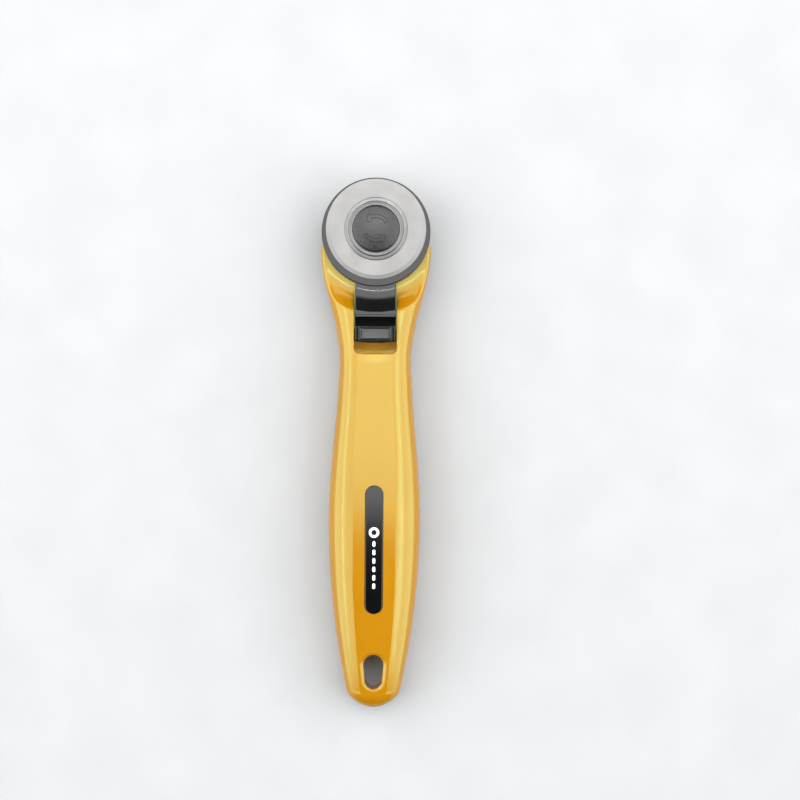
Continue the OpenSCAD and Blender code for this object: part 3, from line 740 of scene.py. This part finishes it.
flat_low, flat_high = cad_box("nut_washer")
flat_profile = soften([(2.15, flat_low[2]), (washer_r, flat_low[2]),
                       (washer_r, flat_high[2]), (2.15, flat_high[2])], [0.1, 0.2, 0.2, 0.1])
flat_washer = lathe("flat_washer", flat_profile, 0, 96)
flange_steel = turned_metal("flange_steel", (0.135, 0.135, 0.135), (0.165, 0.165, 0.162), 0.3)
fitted(flat_washer, flange_steel, "knob_washer", "flange_steel", "nut_washer")


# Knob: black moulding with grip ribs all round and a dished face. It screws onto the bolt
# behind the head by the brass insert in its middle.
knob_high = cad_box("nut_knob")[1]
insert_low, insert_high = cad_box("nut_insert")
knob_r, knob_h, insert_r = knob_high[0] + 0.04, knob_high[2], insert_high[0]
rib_count, rib_r = 18, 0.85
core_r = knob_r - 0.5
dish_r, dish_d = knob_r - 2.0, 0.7
knob_profile = soften([(insert_r, 0), (insert_r + 1, 0), (insert_r + 1.4, dish_d), (dish_r, dish_d),
                       (dish_r + 0.4, 0), (core_r, 0), (core_r, knob_h), (insert_r, knob_h)],
                      [0.15, 0.3, 0.3, 0.3, 0.3, 0.7, 0.3, 0])
knob = lathe("knob", knob_profile, 0, 144)
rib_z0, rib_z1 = 0.25, knob_h - 0.15
rib_profile = soften([(0, rib_z0), (rib_r, rib_z0), (rib_r, rib_z1), (0, rib_z1)], [0, 0.6, 0.4, 0])
ribs = lathe("ribs", rib_profile, bolt_y, 20)
ribs.data.transform(Matrix.Translation(((knob_r - rib_r) * MM, 0, 0)))
knob_black = moulded("knob_black", (0.012, 0.012, 0.013), (0.02, 0.02, 0.021), 0.4, 1400, 0.012)
repeated(ribs, knob_black, rib_count, (0, bolt_y, 0), turn=2 * math.pi / rib_count)
ribs.data.materials.clear()
cut(knob, ribs, "UNION")
fitted(knob, knob_black, "knob", "knob_black", "nut_knob")

insert_profile = soften([(2.02, insert_low[2]), (insert_r, insert_low[2]), (insert_r, insert_high[2]),
                         (2.02, insert_high[2])], [0.3, 0.15, 0.1, 0.3])
insert = lathe("knob_insert", insert_profile, 0, 72)
brass = turned_metal("insert_brass", (0.6, 0.41, 0.14), (0.7, 0.5, 0.2), 0.3)
fitted(insert, brass, "knob", "insert_brass", "nut_insert")


# Keyed bolt: turned steel with a rolled thread for the knob, two flats that stop it turning in
# the bush, and a flat head that the cap hides.
bolt_low, bolt_high = cad_box("bolt_shaft")
flange_low, flange_high = cad_box("bolt_flange")
thread_r, key_r, key_flat = 2.0, 2.6, 2.0
bolt = threaded_rod("bolt", thread_r, 0.32, 0.7, bolt_low[2], flange_high[2])
cut(bolt, prism(keyed_outline(key_r, key_flat), split_z, flange_high[2]), "UNION")
head_profile = soften([(0, flange_high[2] - 0.01), (bolt_high[0], flange_high[2] - 0.01),
                       (bolt_high[0], bolt_high[2]), (0, bolt_high[2])], [0, 0, 0.2, 0])
cut(bolt, lathe("head", head_profile, 0, 64), "UNION")
fitted(bolt, steel, "handle", "turned_steel", "bolt_shaft")


# Flange: bright stepped steel disc on the bolt, which holds the blade on its bush.
flange_r, flange_step_r, flange_step_z = flange_high[0], 7.75, flange_low[2] + 0.45
cap_r, cap_seat_z = cad_box("bolt_cap")[1][0], flange_high[2] - 0.5
flange_profile = soften([(2.62, flange_low[2]), (flange_r, flange_low[2]), (flange_r, flange_step_z),
                         (flange_step_r, flange_step_z), (flange_step_r - 0.15, flange_high[2]),
                         (cap_r + 0.55, flange_high[2]), (cap_r + 0.5, cap_seat_z),
                         (2.62, cap_seat_z)], [0.1, 0.08, 0.2, 0.12, 0.15, 0.08, 0, 0])
flange = lathe("flange", flange_profile, 0, 160)
fitted(flange, flange_steel, "handle", "flange_steel", "bolt_flange")


# Cap: dark grey domed plastic pressed over the bolt's head, with two raised arrows that show
# which way the knob turns.
cap_low, cap_high = cad_box("bolt_cap")
dome_rise = 0.7
dome_r = (cap_r ** 2 + dome_rise ** 2) / (2 * dome_rise)


def dome_z(radius):
    return cap_high[2] - dome_r + math.sqrt(dome_r ** 2 - radius ** 2)


def cap_profile():
    top = [(radius, dome_z(radius)) for radius in np.linspace(cap_r - 1.1, 0, 14)]
    inside = [(0, bolt_high[2]), (bolt_high[0], bolt_high[2]), (bolt_high[0], cap_seat_z)]
    side = soften([(cap_r - 0.1, cap_seat_z), (cap_r, cap_low[2]), (cap_r, dome_z(cap_r)), top[0]],
                  [0, 0.05, 0.85, 0], 8)
    return inside + side[:-1] + top


def arrow_outline(radius, width, first, last, head):
    """A curved arrow about the bolt, from one angle to another in degrees."""
    inner, outer = radius - width / 2, radius + width / 2
    tip = last + math.degrees(head / radius) * (1 if last > first else -1)
    spots = [(outer, a) for a in np.linspace(first, last, 16)]
    spots += [(outer + 0.5 * head, last), (radius, tip), (inner - 0.5 * head, last)]
    spots += [(inner, a) for a in np.linspace(last, first, 16)]
    return [(r * math.cos(math.radians(a)), bolt_y + r * math.sin(math.radians(a))) for r, a in spots]


cap = lathe("cap", cap_profile(), 0, 128)
for first in (25, 205):
    arrow = arrow_outline(3.4, 1.3, first, first + 90, 2.0)
    arrow = prism(arrow, -1, 0, 0.28)
    for vertex in arrow.data.vertices:
        over_dome = 0.24 if vertex.co.z > -0.5 * MM else -0.3
        vertex.co.z = (dome_z(math.hypot(vertex.co.x / MM, vertex.co.y / MM - bolt_y)) + over_dome) * MM
    cut(cap, arrow, "UNION")
cap_grey = moulded("cap_grey", (0.0135, 0.0135, 0.0145), (0.0165, 0.0165, 0.0175), 0.3, 1600, 0.0015)
fitted(cap, cap_grey, "handle", "cap_grey", "bolt_cap", sharp=30)


# Blade: thin ground steel disc with a bevelled edge all round and three small lobes on its
# bore. It turns on the bush between the head and the flange.
bevel_w, edge_t = 1.1, 0.05
blade_r = blade_high[0]
blade_mid = (blade_high[2] + blade_low[2]) / 2
bore_r = pilot_r + 0.05
blade_profile = [(bore_r, blade_low[2]), (blade_r - bevel_w, blade_low[2]),
                 (blade_r, blade_mid - edge_t / 2), (blade_r, blade_mid + edge_t / 2),
                 (blade_r - bevel_w, blade_high[2]), (bore_r, blade_high[2])]
blade = lathe("blade_disc", blade_profile, 0, 256)
for a in (90, 210, 330):
    spot = (bore_r * math.cos(math.radians(a)), bore_r * math.sin(math.radians(a)))
    cut(blade, prism([(x + spot[0], y + spot[1]) for x, y in circle_outline(0.9, 0, 24)], 0, 40))
blade_steel = turned_metal("blade_steel", (0.20, 0.197, 0.192), (0.23, 0.227, 0.222), 0.4, 0.2, 0.0015)
fitted(blade, blade_steel, "blade_disc", "blade_steel", "blade", sharp=2)


# Guard: glossy black moulding. Its disc stands round the blade and its stem climbs out of the
# bowl with the same curve, then dips for the thumb and holds the button.
stem_top_z = guard_low[2] + 2.0
stem_curve_s = 16.5
crest_run = math.sqrt(bowl_curve_r ** 2 - (bowl_curve_r - (crest_z - floor_z)) ** 2)
stem_run, stem_rise = bowl_r + crest_run - stem_curve_s, crest_z - stem_top_z
stem_curve_r = (stem_run ** 2 + stem_rise ** 2) / (2 * stem_rise)
crest_end_s, pad_s, pad_tilt = 24.5, stem_end_s - 4.4, 0.1
scoop_z, pad_z = stem_top_z, crest_z - 0.5
pocket_z = guard_low[2] + 0.6
button_low, button_high = cad_box("thumb_button")
button_s0, button_s1 = bolt_y - button_high[1], bolt_y - button_low[1]
button_w = button_high[0] - 0.35


def stem_height(x, s):
    """The stem's top: a curve out of the bowl, a crest, a dip for the thumb and the pad."""
    climb = np.clip(np.hypot(x, s) - stem_curve_s, 0, stem_run)
    ramp = stem_top_z + stem_curve_r - np.sqrt(stem_curve_r ** 2 - climb ** 2)
    z = smooth_min(ramp + np.where(np.hypot(x, s) > stem_curve_s + stem_run, 9, 0), crest_z + 0 * s, 2.2)
    fall = crest_z - (s - crest_end_s) * 6
    climb = pad_z - (pad_s - 0.1 - s) * (pad_z - scoop_z) / (pad_s - 0.6 - crest_end_s)
    dip = np.minimum(-smooth_min(-fall, -climb, 0.3), pad_z - pad_tilt * np.maximum(s - pad_s, 0))
    return np.where(s > crest_end_s - 0.5, smooth_min(z, dip, 0.25), z)


def guard_disc():
    hub_r, rim_z = 11.5, guard_low[2] + 0.85
    top_z = guard_low[2] + 2.2
    profile = soften([(0, guard_low[2]), (hub_r, guard_low[2]), (hub_r, rim_z), (guard_r, rim_z),
                      (guard_r, top_z), (0, top_z)], [0, 0.2, 0, 0.2, 0.3, 0])
    return lathe("guard_arm", profile, guard_back, 192)


def guard_stem():
    spots = np.concatenate([np.arange(9, 15.5, 0.5), np.arange(15.5, 23, 0.2), np.arange(23, 28, 0.08),
                            np.arange(28, stem_end_s - 0.6, 0.25),
                            stem_end_s - 0.6 * (1 - np.sin(np.linspace(0, np.pi / 2, 12)))])
    across = np.sin(np.linspace(-np.pi / 2, np.pi / 2, 40))[None, :]
    bulge = 0.45 * np.clip((spots - 26) / 5, 0, 1)[:, None]
    s = spots[:, None] - bulge * across ** 2
    x = stem_w * across + 0 * s
    to_side = stem_w - np.abs(x)
    to_end = stem_end_s - spots[:, None] + 0 * x
    top = stem_height(x, s) - rounding(to_side, 0.3) - rounding(to_end, 0.35)
    low = guard_low[2] + rounding(to_end, channel_fillet)
    return slab("stem", x, s, low, top)


guard = guard_disc()
cut(guard, guard_stem(), "UNION")
cut(guard, prism(rounded_bar(bush_high[0] + 0.3, -travel - bush_high[0] - 0.3, bush_high[0] + 0.3,
                             bush_high[0] + 0.3, bush_high[0] + 0.3, 20), 0, 40))
cut(guard, prism(rounded_bar(button_w + 0.15, button_s0 - 0.15, button_s1 + 0.15, 0.6, 0.6), pocket_z, 40))
cut(guard, prism(rounded_bar(button_w + 0.5, button_s0 - 0.15, button_s1 + 0.15, 0.6, 0.6),
                 pocket_z, button_low[2] + 0.75))
guard_black = moulded("guard_black", (0.003, 0.003, 0.0032), (0.005, 0.005, 0.0053), 0.12, 900, 0.0015)
fitted(guard, guard_black, "guard_slider", "black_guard", "guard")


# Carriage: black moulding that slides under the channel's floor, with a neck up to the guard's
# stem and a notched tongue for the click spring. Two small screws hold the stem on it.
carriage_low, carriage_high = cad_box("guard_carriage")
small_low, small_high = cad_box("carriage_screws")
carriage_s0 = bolt_y - carriage_high[1]
carriage_s1 = carriage_s0 + 13.8
tongue_s1 = bolt_y - carriage_low[1]
under_z = floor_z - 1.6
tongue_w, notch_r = 1.6, 0.7
small_r = small_high[0]
small_spots = (bolt_y - small_high[1] + small_r, bolt_y - small_low[1] - small_r)
carriage_z0 = carriage_low[2]
carriage = prism(rounded_bar(carriage_high[0], carriage_s0, carriage_s1, 1.2, 1.2), carriage_z0, under_z)
cut(carriage, prism(rounded_bar(2.8, carriage_s0 + 0.8, carriage_s0 + 7.4, 0.5, 0.5),
                    carriage_z0, carriage_high[2]), "UNION")
cut(carriage, prism(rounded_bar(tongue_w, carriage_s1 - 2, tongue_s1, 0.2, 0.8), carriage_z0, under_z),
    "UNION")
for side in (-1, 1):
    cut(carriage, prism(rounded_bar(1.4, carriage_s0 + 8.6, carriage_s1 - 1.2, 0.4, 0.4)
                        - np.array([side * 3.2, 0]), carriage_low[2] + 0.6, 40))
    for back in (0, travel):
        notch = circle_outline(notch_r, tongue_s1 - 1.2 - back, 32) + np.array([side * tongue_w, 0])
        cut(carriage, prism(notch, 0, 40))
for spot in small_spots:
    cut(carriage, prism(circle_outline(0.9, spot, 32), 0, 40))
    cut(carriage, prism(circle_outline(1.61, spot, 40), 0, carriage_low[2] + 0.8))
carriage_black = moulded("carriage_black", (0.02, 0.02, 0.022), (0.03, 0.03, 0.032), 0.45, 1200, 0.01)
fitted(carriage, carriage_black, "guard_slider", "carriage_black", "guard_carriage")

small_screws = case_screw("carriage_screw_pair", small_r, 0.8, 0.88, small_high[2] - small_low[2], bolt_y)
repeated(small_screws, screw_steel, 2, (0, bolt_y - small_spots[0], small_low[2]),
         (0, small_spots[0] - small_spots[1], 0))
fitted(small_screws, screw_steel, "guard_slider", "screw_steel", "carriage_screws")


# Thumb button: glossy black moulding with a raised rim around a rough grip patch. Side ears
# keep it in the stem's pocket over its leaf spring.
grip_low, grip_high = cad_box("button_grip")
grip_w, grip_s0, grip_s1 = grip_high[0], bolt_y - grip_high[1], bolt_y - grip_low[1]
x, s = bar_grid(button_s0, button_s1, button_w, 48, 64, 0.7)
in_edge = np.maximum(-bar_distance(x, s, button_w, button_s0, button_s1, 0.7), 0)
in_grip = np.maximum(bar_distance(x, s, grip_w, grip_s0, grip_s1, 0.3), 0)
button_top = button_high[2] - pad_tilt * (s - button_s0) - rounding(in_edge, 0.55) - rounding(in_grip, 0.4)
button = slab("button", x, s, button_low[2], button_top)
cut(button, prism(rounded_bar(button_high[0], button_s0 + 0.02, button_s1 - 0.02, 0.6, 0.6), button_low[2],
                  button_low[2] + 0.6), "UNION")
cut(button, prism(rounded_bar(grip_w, grip_s0, grip_s1, 0.3, 0.3), grip_low[2], 40))
button_black = moulded("button_black", (0.003, 0.003, 0.0032), (0.005, 0.005, 0.0053), 0.09, 900, 0.0015)
fitted(button, button_black, "button", "black_button", "thumb_button")

x, s = bar_grid(grip_s0 + 0.02, grip_s1 - 0.02, grip_w - 0.02, 70, 150)
knurl = np.abs(np.sin(np.pi * (x + s) / 0.62) * np.sin(np.pi * (x - s) / 0.62))
grip = slab("grip_patch", x, s, grip_low[2], grip_high[2] - 0.22 + 0.22 * knurl)
grip_black = moulded("grip_black", (0.04, 0.04, 0.041), (0.09, 0.09, 0.09), 0.35, 1800, 0.02)
fitted(grip, grip_black, "button", "grip_insert", "button_grip")


# Springs: a bent steel leaf that lifts the button, and a hairpin of steel strip around a post,
# whose two legs click into the notches of the carriage's tongue.
leaf_low, leaf_high = cad_box("button_spring")
leaf_t, leaf_w = 0.25, leaf_high[0]
leaf_rise = leaf_high[2] - leaf_low[2]
leaf_bend_r = (leaf_w ** 2 + leaf_rise ** 2) / (2 * leaf_rise)
x, s = bar_grid(bolt_y - leaf_high[1], bolt_y - leaf_low[1], leaf_w, 8, 60)
leaf_top = leaf_high[2] - leaf_bend_r + np.sqrt(leaf_bend_r ** 2 - x ** 2)
leaf = slab("leaf_spring", x, s, np.maximum(leaf_top - leaf_t, leaf_low[2]),
            np.maximum(leaf_top, leaf_low[2] + 0.02))
fitted(leaf, spring_steel, "guard_slider", "spring_steel", "button_spring")
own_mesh(leaf)

hairpin_low, hairpin_high = cad_box("detent_spring")
strip_t = 0.4
leg_x = hairpin_high[0] - strip_t / 2
click_s = tongue_s1 - 1.2
loop_r = spring_post_r + 0.05 + strip_t / 2


def hairpin_outline():
    """The strip's outline: out along one leg, round the post and back along the other."""
    leg_s = np.concatenate([np.arange(bolt_y - hairpin_high[1], click_s + 2, 0.15),
                            np.linspace(click_s + 2.2, spring_post_s, 12)])
    lean = (loop_r - leg_x) * ease((leg_s - click_s - 2) / (spring_post_s - click_s - 2))
    right = [(leg_x + a - 0.42 * math.exp(-((b - click_s) / 0.45) ** 2), b) for a, b in zip(lean, leg_s)]
    loop = [(loop_r * math.cos(a), spring_post_s + loop_r * math.sin(a))
            for a in np.linspace(0.1, math.pi - 0.1, 20)]
    middle = np.array(right + loop + [(-a, b) for a, b in right[::-1]])
    along = np.gradient(middle, axis=0)
    normal = np.stack([along[:, 1], -along[:, 0]], axis=-1)
    normal /= np.linalg.norm(normal, axis=1)[:, None]
    band = np.concatenate([middle + normal * strip_t / 2, (middle - normal * strip_t / 2)[::-1]])
    return [(a, bolt_y - b) for a, b in band]


hairpin = prism(hairpin_outline(), hairpin_low[2], hairpin_high[2])
hairpin.name = "click_spring"
fitted(hairpin, spring_steel, "handle", "spring_steel", "detent_spring")


# Studio: a plain pale floor, a soft-edged light overhead with a bright tube in it, soft boxes
# and a bright strip on each side, a room that is brighter to the sides, and a camera that
# looks straight down.
def soft_light(name, place, lean, size, radiance):
    """A rectangular soft light in metres, leaning over in degrees, with its brightness as radiance."""
    light = bpy.data.lights.new(name, "AREA")
    light.shape = "RECTANGLE"
    light.size, light.size_y = size
    light.energy = radiance * math.pi * size[0] * size[1]
    lamp = placed(name, light)
    lamp.location = place
    lamp.rotation_euler = (0, math.radians(lean), 0)


overhead_z, overhead_w, overhead_run, overhead_radiance = 1.05, 0.4, 0.72, 3.4
edge_w, edge_shares = 0.03, (0.9, 0.6, 0.3, 0.12, 0.06, 0.03)
end_w, end_shares = 0.05, (0.7, 0.4, 0.2)
soft_light("overhead", (0, overhead_run / 2, overhead_z), 0, (overhead_w, overhead_run), overhead_radiance)
for step, share in enumerate(edge_shares):
    soft_light("overhead_edge", (0, -edge_w * (step + 0.5), overhead_z), 0, (overhead_w, edge_w),
               overhead_radiance * share)
for step, share in enumerate(end_shares):
    soft_light("overhead_end", (0, overhead_run + end_w * (step + 0.5), overhead_z), 0,
               (overhead_w, end_w), overhead_radiance * share)
soft_light("tube", (0, 0.235, 1.03), 0, (0.4, 0.014), 36.0)
for side in (-1, 1):
    soft_light("side_box", (side * 0.6, 0.15, 0.65), side * 45, (1.13, 1.3), 2.7)
    soft_light("far_box", (side * 0.7, 1.2, 0.55), side * 45, (0.85, 0.8), 1.8)
soft_light("left_strip", (-0.70, 0.15, 0.92), -37, (0.03, 1.3), 10.0)
soft_light("right_strip", (0.577, 0.15, 0.96), 31, (0.02, 1.3), 14.0)
world = bpy.data.worlds.new("room")
bpy.context.scene.world = world
world.use_nodes = True
room_nodes, room_links = world.node_tree.nodes, world.node_tree.links
aside = room_nodes.new("ShaderNodeSeparateXYZ")
room_links.new(room_nodes.new("ShaderNodeTexCoord").outputs["Generated"], aside.inputs["Vector"])
sideways = room_nodes.new("ShaderNodeMath")
sideways.operation = "ABSOLUTE"
room_links.new(aside.outputs["X"], sideways.inputs[0])
room_links.new(between(room_nodes, room_links, sideways.outputs["Value"], 0.08, 1.6, 0.5, 0.85),
               room_nodes["Background"].inputs["Strength"])
room_nodes["Background"].inputs["Color"].default_value = (0.9, 0.95, 1.0, 1)
floor_size = 4.0
floor_mesh = bpy.data.meshes.new("floor")
corners = ((-1, -1), (1, -1), (1, 1), (-1, 1))
floor_mesh.from_pydata([(x * floor_size, y * floor_size, 0) for x, y in corners], [], [(0, 1, 2, 3)])
floor = placed("floor", floor_mesh)
floor.data.materials.append(moulded("pale_floor", (0.38, 0.385, 0.39), (0.39, 0.395, 0.40), 0.8, 50, 0.01))

camera_height = 0.9
view_width = 0.2231
camera_data = bpy.data.cameras.new("camera")
camera_data.sensor_width = 36
camera_data.lens = 36 * (camera_height - blade_high[2] * MM) / view_width
camera = placed("camera", camera_data)
camera.location = (6.99 * MM, (bolt_y - 47.73) * MM, camera_height)
camera.rotation_euler = (0, 0, math.radians(0.36))
bpy.context.scene.camera = camera
bpy.context.scene.view_settings.view_transform = "Standard"
